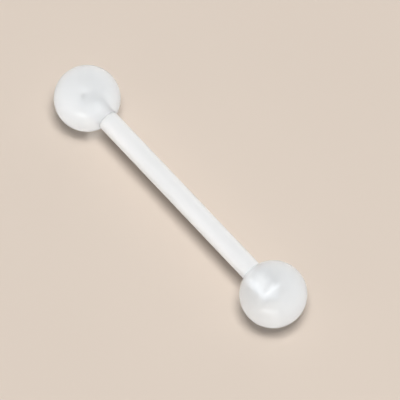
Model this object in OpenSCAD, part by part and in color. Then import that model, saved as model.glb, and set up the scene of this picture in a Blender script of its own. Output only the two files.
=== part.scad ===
// Piercing retainer: a straight translucent barbell, a plain rod with a ball screwed on each end.
// It lies on its two balls. The rod runs along X, and Z = 0 is the surface under the balls.

/* [Rod] */
// Diameter of the rod, the gauge of the piercing
rod_d = 1.6; // [1.4:0.1:2.0]
// Length of rod that shows between the two balls
wear_length = 16; // [8:1:24]

/* [Screw ends] */
// Full diameter of the thread on each end of the rod
screw_d = 1.16; // [1.0:0.02:1.3]
// Rise of the thread in one turn
thread_pitch = 0.25; // [0.2:0.05:0.35]
// Height of the thread above its core
thread_depth = 0.13; // [0.1:0.01:0.18]
// Bevel on the tip of each screw end
tip_chamfer = 0.12; // [0.05:0.01:0.2]

/* [Balls] */
// Diameter of each ball
ball_d = 5; // [4:0.5:8]
// Gap all round between a screw end and its hole, and round the plain rod in the mouth of the hole
hole_clearance = 0.04; // [0.02:0.01:0.08]
mouth_clearance = 0.03; // [0.02:0.01:0.08]
// Angle of the cone that the drill leaves at the bottom of the hole
drill_angle = 118; // [90:1:140]

/* [Hidden] */

round_fn = 96;          // sides of a drawn circle
thread_steps = 18;      // sections of the thread in one turn
thread_crest = 0.16;    // width of the flat on the thread, as a share of the pitch
thread_root = 0.84;     // width of the thread where it leaves the core, as a share of the pitch
thread_sink = 0.05;     // how deep the thread's foot sits in the core
lead_in = 0.75;         // turns over which the thread rises from the core, and falls back
end_rise = 0.1;         // share of its height that the thread keeps at its two ends
mouth_gap = 0.02;       // how far the plain rod ends short of the mouth of the hole
end_gap = 0.45;         // gap between the tip of the rod and the end of the hole's straight wall
overcut = 1;            // how far a cutting shape passes the surface that it cuts

rod_r = rod_d / 2;
screw_r = screw_d / 2;
core_r = screw_r - thread_depth;
ball_r = ball_d / 2;
ball_x = wear_length / 2 + ball_r;                 // centre of a ball
hole_r = screw_r + hole_clearance;
mouth_r = rod_r + mouth_clearance;
mouth_x = ball_x - sqrt(ball_r * ball_r - mouth_r * mouth_r);   // where the countersink meets the ball
sink_x = mouth_x + mouth_r - hole_r;               // the 45 degree countersink ends at the straight wall
plain_x = mouth_x - mouth_gap;                     // the plain rod ends, and narrows at 45 degrees
thread_x = plain_x + rod_r - screw_r;              // it is as thin as the thread here
tip_x = ball_x - end_gap;                          // the rod ends short of the middle of the ball
thread_turns = (tip_x - tip_chamfer - thread_x) / thread_pitch - thread_root;

// How far the thread has risen from its foot, up to 1, t turns along it. Its ends stay inside the core
function rise(t) = max(end_rise, min(1, t / lead_in, (thread_turns - t) / lead_in));

// The four corners of the thread's section t turns along it: foot, crest, crest, foot
function thread_section(t) =
    let (r = core_r - thread_sink + (thread_depth + thread_sink) * rise(t),
         foot = thread_pitch * thread_root / 2,
         crest = thread_pitch * thread_crest / 2,
         x = thread_pitch * t + foot,
         turn = 360 * t)
    [for (p = [[core_r - thread_sink, -foot], [r, -crest], [r, crest], [core_r - thread_sink, foot]])
        [p[0] * cos(turn), p[0] * sin(turn), x + p[1]]];

// A ridge that winds round the core, along Z from 0
module thread() {
    count = ceil(thread_turns * thread_steps);
    sections = [for (i = [0:count]) thread_section(thread_turns * i / count)];
    sides = [for (i = [0:count - 1], k = [0:3])
        let (a = 4 * i + k, b = 4 * i + (k + 1) % 4)
        each [[a, b, b + 4], [a, b + 4, a + 4]]];
    caps = [[3, 2, 1, 0], [for (k = [0:3]) 4 * count + k]];
    polyhedron(points = [for (s = sections) each s], faces = concat(sides, caps), convexity = 8);
}

// A round bar along Z from 0, straight up to z, with a 45 degree bevel past it
module bevelled_bar(z, r, bevel) {
    cylinder(h = z, r = r, $fn = round_fn);
    translate([0, 0, z]) cylinder(h = bevel, r1 = r, r2 = r - bevel, $fn = round_fn);
}

// One half of the rod from its middle to the tip of its screw end, along +X
module half_rod() {
    rotate([0, 90, 0]) {
        bevelled_bar(plain_x, rod_r, rod_r - core_r);
        bevelled_bar(tip_x - tip_chamfer, core_r, tip_chamfer);
        translate([0, 0, thread_x]) thread();
    }
}

// The rod with a screw end inside each ball
module rod() {
    color("whitesmoke")
        translate([0, 0, ball_r])
            union() {
                half_rod();
                rotate([0, 0, 180]) half_rod();
            }
}

// The hole of a ball, opening towards -X: the countersink, the straight wall and the drill cone
module drilled_hole() {
    sink = sink_x - ball_x + ball_r + overcut;
    rotate([0, 90, 0]) {
        translate([0, 0, -ball_r - overcut]) {
            cylinder(h = ball_r + overcut, r = hole_r, $fn = round_fn);
            cylinder(h = sink, r1 = hole_r + sink, r2 = hole_r, $fn = round_fn);
        }
        cylinder(h = hole_r / tan(drill_angle / 2), r1 = hole_r, r2 = 0, $fn = round_fn);
    }
}

// A ball on the end of the rod, with its hole towards the rod
module ball() {
    color("gainsboro")
        translate([ball_x, 0, ball_r])
            difference() {
                rotate([0, 90, 0]) sphere(r = ball_r, $fn = round_fn);
                drilled_hole();
            }
}

module left_ball() {
    rotate([0, 0, 180]) ball();
}

module right_ball() {
    ball();
}

rod();
left_ball();
right_ball();
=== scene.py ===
import math

import bpy
import numpy as np
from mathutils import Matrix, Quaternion, Vector


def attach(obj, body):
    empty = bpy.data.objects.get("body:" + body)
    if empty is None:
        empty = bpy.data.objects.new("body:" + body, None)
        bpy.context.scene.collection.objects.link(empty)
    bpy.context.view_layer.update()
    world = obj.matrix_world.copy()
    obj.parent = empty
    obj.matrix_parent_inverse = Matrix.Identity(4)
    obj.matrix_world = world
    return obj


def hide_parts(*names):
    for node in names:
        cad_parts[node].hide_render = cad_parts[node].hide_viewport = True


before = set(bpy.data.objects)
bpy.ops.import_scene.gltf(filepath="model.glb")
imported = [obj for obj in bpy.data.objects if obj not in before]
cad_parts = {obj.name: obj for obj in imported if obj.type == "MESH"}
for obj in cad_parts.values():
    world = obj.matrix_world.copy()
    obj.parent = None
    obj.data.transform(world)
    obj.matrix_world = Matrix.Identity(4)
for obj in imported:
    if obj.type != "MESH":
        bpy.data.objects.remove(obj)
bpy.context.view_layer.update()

mm = 0.001
print("frame loaded:", ", ".join(sorted(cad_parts)))


# The numbers that the pieces share, in mm, the same as in the part's source
barbell = {
    "wearLength": 16,           # rod that shows between the balls
    "rodRadius": 0.8,
    "screwRadius": 0.58,
    "threadDepth": 0.13,
    "pitch": 0.25,
    "ballRadius": 2.5,
    "holeClearance": 0.04,
    "mouthClearance": 0.03,
    "mouthGap": 0.02,           # how far the plain rod ends short of the mouth of the hole
    "endGap": 0.45,             # from the tip of the rod to the middle of the ball
}
rodRadius, ballRadius, pitch = barbell["rodRadius"], barbell["ballRadius"], barbell["pitch"]
axisHeight = ballRadius                                     # the barbell lies on its balls
ballX = barbell["wearLength"] / 2 + ballRadius              # middle of a ball
coreRadius = barbell["screwRadius"] - barbell["threadDepth"]
holeRadius = barbell["screwRadius"] + barbell["holeClearance"]
mouthRadius = rodRadius + barbell["mouthClearance"]
mouthX = ballX - math.sqrt(ballRadius ** 2 - mouthRadius ** 2)
sinkX = mouthX + mouthRadius - holeRadius                   # the 45 degree countersink ends here
plainX = mouthX - barbell["mouthGap"]                       # the plain rod ends here
threadX = plainX + rodRadius - barbell["screwRadius"]       # and its cone has come down to the thread
tipX = ballX - barbell["endGap"]


# Meshes

# The angles a of a ring's points: a = 2 pi col / cols
def ringAngles(cols):
    return 2 * np.pi * np.arange(cols) / cols


# A lathe skin. Point (row, col) = (x[row], r sin a, axisHeight - r cos a), with r = radius[row, col] and a
# the ring's angles. Rows close on themselves, and one point on the axis shuts each end. facing -1 turns the
# whole skin half a turn about the upright line x = y = 0. The first boreRows rows of faces, and the fan
# before them, take the second material.
def latheSkin(name, x, radius, startX, endX, facing=1, boreRows=0):
    rows, cols = radius.shape
    angle = ringAngles(cols)
    ring = np.stack([np.repeat(x[:, None], cols, axis=1), radius * np.sin(angle),
                     axisHeight - radius * np.cos(angle)], axis=-1)
    poles = np.array([[startX, 0, axisHeight], [endX, 0, axisHeight]])
    points = np.concatenate([ring.reshape(-1, 3), poles]) * [facing, facing, 1] * mm
    here = np.arange(rows * cols).reshape(rows, cols)
    beside = np.roll(here, -1, axis=1)
    quads = np.stack([here[:-1], beside[:-1], beside[1:], here[1:]], axis=-1).reshape(-1, 4)
    startFan = np.stack([np.full(cols, rows * cols), beside[0], here[0]], axis=-1)
    endFan = np.stack([np.full(cols, rows * cols + 1), here[-1], beside[-1]], axis=-1)
    mesh = bpy.data.meshes.new(name)
    mesh.from_pydata(points.tolist(), [], quads.tolist() + startFan.tolist() + endFan.tolist())
    mesh.polygons.foreach_set("use_smooth", np.ones(len(mesh.polygons), dtype=bool))
    inBore = np.zeros(len(mesh.polygons), dtype=np.int32)
    inBore[:boreRows * cols] = 1
    inBore[len(quads):len(quads) + cols] = boreRows > 0
    mesh.polygons.foreach_set("material_index", inBore)
    mesh.update()
    piece = bpy.data.objects.new(name, mesh)
    bpy.context.collection.objects.link(piece)
    return piece


# A profile (x, r) with softened corners. A corner becomes three points: one at `ease` before it, one at
# `ease` after it, and between them (before + 2 corner + after) / 4. On a short side the ease is a third of
# the side. A stretch between two points is split into steps no longer than `step`.
def easedProfile(corners, ease, step):
    corners = np.asarray(corners, float)
    path = [corners[0]]
    for before, corner, after in zip(corners[:-2], corners[1:-1], corners[2:]):
        lengthIn, lengthOut = np.linalg.norm(corner - before), np.linalg.norm(after - corner)
        cut = min(ease, lengthIn / 3, lengthOut / 3)
        cutIn = corner + (before - corner) * cut / lengthIn
        cutOut = corner + (after - corner) * cut / lengthOut
        path += [cutIn, (cutIn + 2 * corner + cutOut) / 4, cutOut]
    path.append(corners[-1])
    stretches = [np.linspace(a, b, max(1, math.ceil(np.linalg.norm(b - a) / step)), endpoint=False)
                 for a, b in zip(path[:-1], path[1:])]
    return np.concatenate(stretches + [np.array([path[-1]])])


# How high a right-hand thread stands, from 0 to 1, at x along it and at angle a round it. The distance to
# the nearest crest line x = start + pitch (n + a / 2 pi) sets it: 1 within `crest` of the line, 0 past
# `foot`, and a smooth step between them. The thread grows in over its first leadIn turns and dies out over
# its last.
def ridge(x, angle, start, crest, foot, leadIn, turns=math.inf):
    along = (x - start) / pitch - angle / (2 * np.pi)
    turn = np.clip(np.round(along), 0, None) + angle / (2 * np.pi)
    away = np.abs(x - start - pitch * turn)
    flank = np.clip((foot - away) / (foot - crest), 0, 1)
    grow = np.clip(np.minimum(turn, turns - turn) / leadIn, 0, 1)
    return flank * flank * (3 - 2 * flank) * grow


# Rod

rodShape = {
    "tipChamfer": 0.12,
    "crest": 0.02,              # half the flat on top of the thread
    "foot": 0.105,              # half the width of its foot
    "leadIn": 0.75,             # turns over which it grows in, and dies out
    "edgeEase": 0.02,           # how far from an edge its softening starts
    "fineLead": 0.1,            # stretch of the plain rod next to its cone that has fine steps too
    "tipRing": 0.05,            # radius of the last ring on the flat of the tip
    "cols": 128,
    "plainStep": 0.3,
    "threadStep": 0.02,
}
firstCrestX = threadX + rodShape["foot"]


# The rod: one profile from the middle to a tip, mirrored for the other end and carried round the axis. On
# the screw ends r = max(profile, core + thread depth x ridge).
def makeRod():
    screwEndX = tipX - rodShape["tipChamfer"]
    fineX = plainX - rodShape["fineLead"]
    plain = easedProfile([[0, rodRadius], [fineX, rodRadius]], rodShape["edgeEase"], rodShape["plainStep"])
    end = easedProfile([[fineX, rodRadius], [plainX, rodRadius],
                        [plainX + rodRadius - coreRadius, coreRadius], [screwEndX, coreRadius],
                        [tipX, coreRadius - rodShape["tipChamfer"]], [tipX, rodShape["tipRing"]]],
                       rodShape["edgeEase"], rodShape["threadStep"])
    half = np.concatenate([plain[:-1], end])
    profile = np.concatenate([half[:0:-1] * [-1, 1], half])
    x, r = profile[:, :1], profile[:, 1:]
    angle = ringAngles(rodShape["cols"])
    angle = np.where(x < 0, 2 * np.pi - angle, angle)
    turns = (screwEndX - threadX - 2 * rodShape["foot"]) / pitch
    height = ridge(np.abs(x), angle, firstCrestX,
                   rodShape["crest"], rodShape["foot"], rodShape["leadIn"], turns)
    inScrew = (np.abs(x) > threadX) & (np.abs(x) < screwEndX)
    radius = np.where(inScrew, np.maximum(r, coreRadius + barbell["threadDepth"] * height), r)
    return latheSkin("milkyRod", profile[:, 0], radius, -tipX, tipX)


# Balls

ballShape = {
    "drillAngle": 118,
    "tapDepth": 0.012,          # depth of the tapped groove in the wall of the hole
    "tapCrest": 0.02,           # half the flat at its bottom
    "tapFoot": 0.11,            # half its width at the wall
    "tapLeadIn": 0.75,          # turns over which it grows in
    "tapFade": 0.1,             # wall over which it also grows in from the countersink, and dies out
    "tapEnd": 0.1,              # plain wall between its end and the drill's cone
    "edgeEase": 0.02,           # how far from an edge its softening starts
    "firstRing": 0.02,          # from the drill's tip to the first ring
    "poleAngle": 0.01,          # radians between the last ring and the far pole
    "lipRows": 2,               # rows of faces inside the mouth that have the ball's own finish
    "cols": 160,
    "skinRows": 110,
    "tapStep": 0.025,
}


# A ball: the profile runs from the drill's tip up the cone, out along the hole and the countersink, and
# over the sphere to the far pole, with x from the ball's middle. On the wall of the hole
# r = profile + tap depth x ridge x fade.
def makeBall(name, facing):
    drillDepth = holeRadius / math.tan(math.radians(ballShape["drillAngle"] / 2))
    firstRadius = ballShape["firstRing"] * holeRadius / drillDepth
    wallStart, mouthStart = sinkX - ballX, mouthX - ballX
    inside = easedProfile([[drillDepth - ballShape["firstRing"], firstRadius], [0, holeRadius],
                           [wallStart, holeRadius], [mouthStart, mouthRadius]],
                          ballShape["edgeEase"], ballShape["tapStep"])[:-1]
    sweep = np.linspace(math.atan2(mouthRadius, mouthStart), ballShape["poleAngle"], ballShape["skinRows"])
    outside = ballRadius * np.stack([np.cos(sweep), np.sin(sweep)], axis=1)
    profile = np.concatenate([inside, outside])
    x, r = profile[:, :1], profile[:, 1:]
    groove = ridge(x + ballX, ringAngles(ballShape["cols"]), firstCrestX,
                   ballShape["tapCrest"], ballShape["tapFoot"], ballShape["tapLeadIn"])
    fade = (np.clip((x - wallStart) / ballShape["tapFade"], 0, 1)
            * np.clip((-ballShape["tapEnd"] - x) / ballShape["tapFade"], 0, 1))
    radius = r + np.where(np.isclose(r, holeRadius), ballShape["tapDepth"] * groove * fade, 0)
    return latheSkin(name, profile[:, 0] + ballX, radius, ballX + drillDepth, ballX + ballRadius,
                     facing, len(inside) - ballShape["lipRows"])


rod = makeRod()
leftBall = makeBall("leftBall", -1)
rightBall = makeBall("rightBall", 1)
for piece, body, node, slot in ((rod, "rod", "rod", "rod_plastic"),
                                (leftBall, "left_ball", "left_ball", "ball_acrylic"),
                                (rightBall, "right_ball", "right_ball", "ball_acrylic")):
    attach(piece, body)
    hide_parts(node)
print("rod and balls made:", [len(piece.data.polygons) for piece in (rod, leftBall, rightBall)])


# Materials

# Puts a value, or the output of another node, on each of the node's sockets that the dictionary names
def setSockets(tree, node, sockets):
    for key, source in sockets.items():
        if isinstance(source, bpy.types.NodeSocket):
            tree.links.new(source, node.inputs[key])
        else:
            node.inputs[key].default_value = source


def addNode(tree, kind, sockets, **settings):
    node = tree.nodes.new(kind)
    for key, value in settings.items():
        setattr(node, key, value)
    setSockets(tree, node, sockets)
    return node


def newMaterial(name):
    material = bpy.data.materials.new(name)
    material.use_nodes = True
    return material, material.node_tree, material.node_tree.nodes["Principled BSDF"]


# A value carried from one range to another, and held at the ends of it
def carry(tree, value, fromLow, fromHigh, toLow, toHigh, way="LINEAR"):
    sockets = {"Value": value, "From Min": fromLow, "From Max": fromHigh, "To Min": toLow, "To Max": toHigh}
    return addNode(tree, "ShaderNodeMapRange", sockets, interpolation_type=way).outputs["Result"]


def mixColours(tree, share, colour, otherColour):
    return addNode(tree, "ShaderNodeMix", {0: share, 6: colour, 7: otherColour}, data_type="RGBA").outputs[2]


def placeOn(tree):
    return addNode(tree, "ShaderNodeTexCoord", {}).outputs["Object"]


# |x|, how far the place lies from the middle of the barbell
def alongRod(tree):
    split = addNode(tree, "ShaderNodeSeparateXYZ", {"Vector": placeOn(tree)})
    return addNode(tree, "ShaderNodeMath", {0: split.outputs["X"]}, operation="ABSOLUTE").outputs["Value"]


# 1 - cos of the angle between a ray and the face's normal: 0 where they meet square, 1 at the rim
def slantOf(tree):
    return addNode(tree, "ShaderNodeLayerWeight", {"Blend": 0.5}).outputs["Facing"]


# Noise on Object coordinates, with `scale` cells in a metre along x, y and z
def noiseOn(tree, scale, detail):
    mapping = addNode(tree, "ShaderNodeMapping", {"Vector": placeOn(tree), "Scale": scale})
    sockets = {"Vector": mapping.outputs["Vector"], "Scale": 1.0, "Detail": detail}
    return addNode(tree, "ShaderNodeTexNoise", sockets).outputs["Fac"]


grain = {   # what the three finishes share
    "noiseLow": 0.35,           # most of a noise lies between these two
    "noiseHigh": 0.65,
    "patchDetail": 3,
    "scratchDetail": 5,
    "scratchStrength": 0.1,
    "scratchDepth": 0.01 * mm,
}


# The plastic's colour, from clear to cloudy in soft patches
def patchyColour(tree, finish):
    noise = noiseOn(tree, finish["patchScale"], grain["patchDetail"])
    return mixColours(tree, carry(tree, noise, grain["noiseLow"], grain["noiseHigh"], 0, 1),
                      finish["clear"], finish["cloudy"])


# Fine scratches: the same noise makes the plastic smoother or rougher, and dents it a little
def addScratches(tree, shader, finish):
    noise = noiseOn(tree, finish["scratchScale"], grain["scratchDetail"])
    bump = addNode(tree, "ShaderNodeBump", {"Height": noise, "Strength": grain["scratchStrength"],
                                            "Distance": grain["scratchDepth"]})
    rough = carry(tree, noise, grain["noiseLow"], grain["noiseHigh"], finish["roughLow"], finish["roughHigh"])
    setSockets(tree, shader, {"Roughness": rough, "Normal": bump.outputs["Normal"]})


# How much painted light the plastic gets, from 0 to 1: the greater of two smooth steps of the dot product
# way . place, each of them from its own start to its own end
def paintedLightMask(tree, paintedLightWays):
    steps = []
    for way, start, end in paintedLightWays:
        reach = addNode(tree, "ShaderNodeVectorMath", {0: placeOn(tree), 1: way}, operation="DOT_PRODUCT")
        steps.append(carry(tree, reach.outputs["Value"], start, end, 0, 1, "SMOOTHSTEP"))
    return addNode(tree, "ShaderNodeMath", dict(enumerate(steps)), operation="MAXIMUM").outputs["Value"]


# Light on its way from a lamp passes through the faces in the finish's lampLight colour: all of it up to
# slantLow, none past slantHigh, and a smooth step between them. Any other ray meets the plastic itself.
def passLampLight(tree, shader, finish, slantHigh):
    passes = carry(tree, slantOf(tree), finish["slantLow"], slantHigh, 1, 0, "SMOOTHSTEP")
    shade = mixColours(tree, passes, (0, 0, 0, 1), finish["lampLight"])
    lampWay = addNode(tree, "ShaderNodeBsdfTransparent", {"Color": shade})
    path = addNode(tree, "ShaderNodeLightPath", {})
    either = addNode(tree, "ShaderNodeMixShader", {0: path.outputs["Is Shadow Ray"], 1: shader.outputs[0],
                                                   2: lampWay.outputs[0]})
    tree.links.new(either.outputs[0], tree.nodes["Material Output"].inputs["Surface"])


# A slantHigh that changes along the barbell: the finish's innerSlant up to innerX from its middle,
# outerSlant past outerX, and a smooth step between them
def slantAlong(tree, finish):
    return carry(tree, alongRod(tree), finish["innerX"], finish["outerX"],
                 finish["innerSlant"], finish["outerSlant"], "SMOOTHSTEP")


ballFinish = {
    "clear": (0.867, 0.878, 0.886, 1),
    "cloudy": (0.895, 0.905, 0.912, 1),
    "patchScale": (700, 700, 700),
    "scratchScale": (9000, 3000, 9000),
    "transmission": 0.85,
    "innerTransmission": 0.35,  # for light that is inside the ball already
    "ior": 1.49,
    "roughLow": 0.276,
    "roughHigh": 0.29,
    "polish": 0.6,
    "polishRough": 0.1,
    "lampLight": (0.93, 0.965, 0.995, 1),
    "slantLow": 0.1,
    "innerSlant": 1.8,          # more light passes round the mouth of the hole
    "outerSlant": 0.42,
    "innerX": 8.2 * mm,
    "outerX": 9.3 * mm,
}


# The balls: cloudy acrylic under a thin polish, and hazier from inside
def ballMaterial():
    material, tree, shader = newMaterial("milkyAcrylic")
    backFace = addNode(tree, "ShaderNodeNewGeometry", {}).outputs["Backfacing"]
    through = carry(tree, backFace, 0, 1, ballFinish["transmission"], ballFinish["innerTransmission"])
    setSockets(tree, shader, {"Base Color": patchyColour(tree, ballFinish), "Transmission Weight": through,
                              "IOR": ballFinish["ior"], "Coat Weight": ballFinish["polish"],
                              "Coat Roughness": ballFinish["polishRough"]})
    addScratches(tree, shader, ballFinish)
    passLampLight(tree, shader, ballFinish, slantAlong(tree, ballFinish))
    return material


boreFinish = {
    "clear": (0.71, 0.705, 0.70, 1),
    "cloudy": (0.75, 0.745, 0.74, 1),
    # colour of the painted highlight on the walls of the holes
    "paintedLightColour": (0.93, 0.925, 0.92, 1),
    "paintedLightWays": (((0.006, -1, 0), 0.4 * mm, 0.6 * mm),    # painted highlight on the front of both holes, more in the right one
                   ((1, 0, 0), 10.3 * mm, 10.5 * mm)),      # and on the bottom of the right one
    "patchScale": (2000, 2000, 2000),
    "scratchScale": (9000, 9000, 9000),
    "transmission": 0.46,
    "slantTransmission": 0.0,   # what it falls to at the rim
    "ior": 1.49,
    "roughLow": 0.6,
    "roughHigh": 0.8,
    "lampLight": (1.0, 0.97, 0.94, 1),
    "slantLow": 0.3,
    "slantHigh": 0.9,
}


# The walls of the holes: the ball's acrylic, frosted by the drill, with a painted highlight on the front of
# both holes and the bottom of the right one. Nothing shows through where the highlight is painted.
def boreMaterial():
    material, tree, shader = newMaterial("frostedBore")
    # painted highlight on the front of both holes and the bottom of the right one
    paintedLight = paintedLightMask(tree, boreFinish["paintedLightWays"])
    through = carry(tree, slantOf(tree), 0, 1, boreFinish["transmission"], boreFinish["slantTransmission"])
    clearness = addNode(tree, "ShaderNodeMath", {0: through, 1: paintedLight}, operation="SUBTRACT", use_clamp=True)
    colour = mixColours(tree, paintedLight, patchyColour(tree, boreFinish), boreFinish["paintedLightColour"])
    setSockets(tree, shader, {"Base Color": colour, "Transmission Weight": clearness.outputs["Value"],
                              "IOR": boreFinish["ior"]})
    addScratches(tree, shader, boreFinish)
    passLampLight(tree, shader, boreFinish, boreFinish["slantHigh"])
    return material


rodFinish = {
    "clear": (0.685, 0.69, 0.69, 1),
    "cloudy": (0.715, 0.715, 0.715, 1),
    # colour of the painted light on the screw ends, which stands in for the shade they lie in inside the
    # balls
    "paintedLightColour": (0.93, 0.93, 0.93, 1),
    "paintedLightWays": (((-1, 0, 0), 8.2 * mm, 8.5 * mm),        # painted light on the left screw end
                   ((1, 0, 0), 8.2 * mm, 11 * mm)),         # and on the right one, more and more to its tip
    "patchScale": (150, 900, 900),
    "scratchScale": (300, 12000, 12000),
    "ior": 1.38,
    "roughLow": 0.3,
    "roughHigh": 0.45,
    "scatter": 1.0,
    "scatterReach": 1 * mm,
    "lampLight": (0.8, 0.8, 0.8, 1),
    "slantLow": 0.0,
    "innerSlant": 0.0001,       # next to no light passes through the plain rod
    "outerSlant": 2.0,          # and much of it through the screw ends
    "innerX": 8.2 * mm,
    "outerX": 8.5 * mm,
}


# The rod: satin fluoropolymer that scatters light, with faint lines along it, and painted light on its screw
# ends over the shade they lie in inside the balls
def rodMaterial():
    material, tree, shader = newMaterial("satinFluoropolymer")
    # painted light on the screw ends
    paintedLight = paintedLightMask(tree, rodFinish["paintedLightWays"])
    colour = mixColours(tree, paintedLight, patchyColour(tree, rodFinish), rodFinish["paintedLightColour"])
    setSockets(tree, shader, {"Base Color": colour, "IOR": rodFinish["ior"],
                              "Subsurface Weight": rodFinish["scatter"], "Subsurface Radius": (1, 1, 1),
                              "Subsurface Scale": rodFinish["scatterReach"]})
    addScratches(tree, shader, rodFinish)
    passLampLight(tree, shader, rodFinish, slantAlong(tree, rodFinish))
    return material


rod.data.materials.append(rodMaterial())
acrylic, frosted = ballMaterial(), boreMaterial()
for ball in (leftBall, rightBall):
    ball.data.materials.append(acrylic)
    ball.data.materials.append(frosted)
print("materials made")


# Floor

floorLook = {
    "colour": (0.622, 0.538, 0.465, 1),
    "size": 3.0,                # m
    "rough": 0.9,
    "gloss": 0.1,
}
half = floorLook["size"] / 2
floorMesh = bpy.data.meshes.new("paleFloor")
floorMesh.from_pydata([(-half, -half, 0), (half, -half, 0), (half, half, 0), (-half, half, 0)], [],
                      [(0, 1, 2, 3)])
floor = bpy.data.objects.new("paleFloor", floorMesh)
bpy.context.collection.objects.link(floor)
floorMaterial, floorTree, floorShader = newMaterial("palePaper")
setSockets(floorTree, floorShader, {"Base Color": floorLook["colour"], "Roughness": floorLook["rough"],
                                    "Specular IOR Level": floorLook["gloss"]})
floorMesh.materials.append(floorMaterial)


# Light

skyLook = {
    "colour": (1, 1, 1, 1),
    "horizonLight": 0.7,
    "topLight": 0.1,
    "horizonHeight": 0.1,       # z of a direction up to which the sky has its horizonLight
    "topHeight": 0.6,           # and from which it has its topLight
}
world = bpy.data.worlds.new("softRoom")
bpy.context.scene.world = world
world.use_nodes = True
skyTree = world.node_tree
skyWay = addNode(skyTree, "ShaderNodeTexCoord", {})
skySplit = addNode(skyTree, "ShaderNodeSeparateXYZ", {"Vector": skyWay.outputs["Generated"]})
skyLight = carry(skyTree, skySplit.outputs["Z"], skyLook["horizonHeight"], skyLook["topHeight"],
                 skyLook["horizonLight"], skyLook["topLight"], "SMOOTHSTEP")
setSockets(skyTree, skyTree.nodes["Background"], {"Color": skyLook["colour"], "Strength": skyLight})

# Each lamp: place, size across and size up in metres, turn about its own axis in degrees, power in watts,
# whether it is seen through the balls, and whether it is seen in their polish
lamps = {
    "overhead": ((0.06, -0.015, 0.5), 0.2, 0.2, 0, 2.17, False, False),
    "strip": ((0.02, -0.003, 0.5), 0.03, 0.16, 49, 0.3, True, False),
    "lowFront": ((-0.05, -0.5, 0.05), 0.5, 0.08, 0, 0.78, False, False),
    "lowRight": ((0.35, -0.432, 0.04), 0.45, 0.07, 0, 0.42, False, True),
    "lowBack": ((-0.2, 0.46, 0.05), 0.5, 0.08, 0, 0.8, False, False),
}
for name, (place, across, upright, turn, power, showsThrough, showsInPolish) in lamps.items():
    lampData = bpy.data.lights.new(name, "AREA")
    lampData.shape = "RECTANGLE"
    lampData.size, lampData.size_y, lampData.energy = across, upright, power
    lamp = bpy.data.objects.new(name, lampData)
    lamp.location = place
    facing = (-Vector(place)).to_track_quat("-Z", "Y")
    lamp.rotation_euler = (facing @ Quaternion((0, 0, 1), math.radians(turn))).to_euler()
    lamp.visible_transmission = showsThrough
    lamp.visible_glossy = showsInPolish
    bpy.context.collection.objects.link(lamp)


# Camera

cameraLook = {
    "azimuth": 49.0,            # degrees
    "elevation": 66.0,
    "distance": 0.362,          # m
    "lens": 441.0,              # mm
    "aimRight": 1.52 * mm,      # how far it aims beside the middle of the barbell
    "aimDown": 0.34 * mm,
    "clipNear": 0.01,           # m
    "clipFar": 10,
}
azimuth, elevation = math.radians(cameraLook["azimuth"]), math.radians(cameraLook["elevation"])
back = Vector((math.sin(azimuth) * math.cos(elevation), -math.cos(azimuth) * math.cos(elevation),
               math.sin(elevation)))
right = Vector((math.cos(azimuth), math.sin(azimuth), 0))
up = back.cross(right)
aim = Vector((0, 0, axisHeight * mm)) + right * cameraLook["aimRight"] - up * cameraLook["aimDown"]
cameraData = bpy.data.cameras.new("camera")
cameraData.lens = cameraLook["lens"]
cameraData.clip_start, cameraData.clip_end = cameraLook["clipNear"], cameraLook["clipFar"]
camera = bpy.data.objects.new("camera", cameraData)
camera.location = aim + back * cameraLook["distance"]
camera.rotation_euler = back.to_track_quat("Z", "Y").to_euler()
bpy.context.collection.objects.link(camera)
bpy.context.scene.camera = camera
bpy.context.scene.view_settings.view_transform = "Standard"
print("floor, light and camera made")
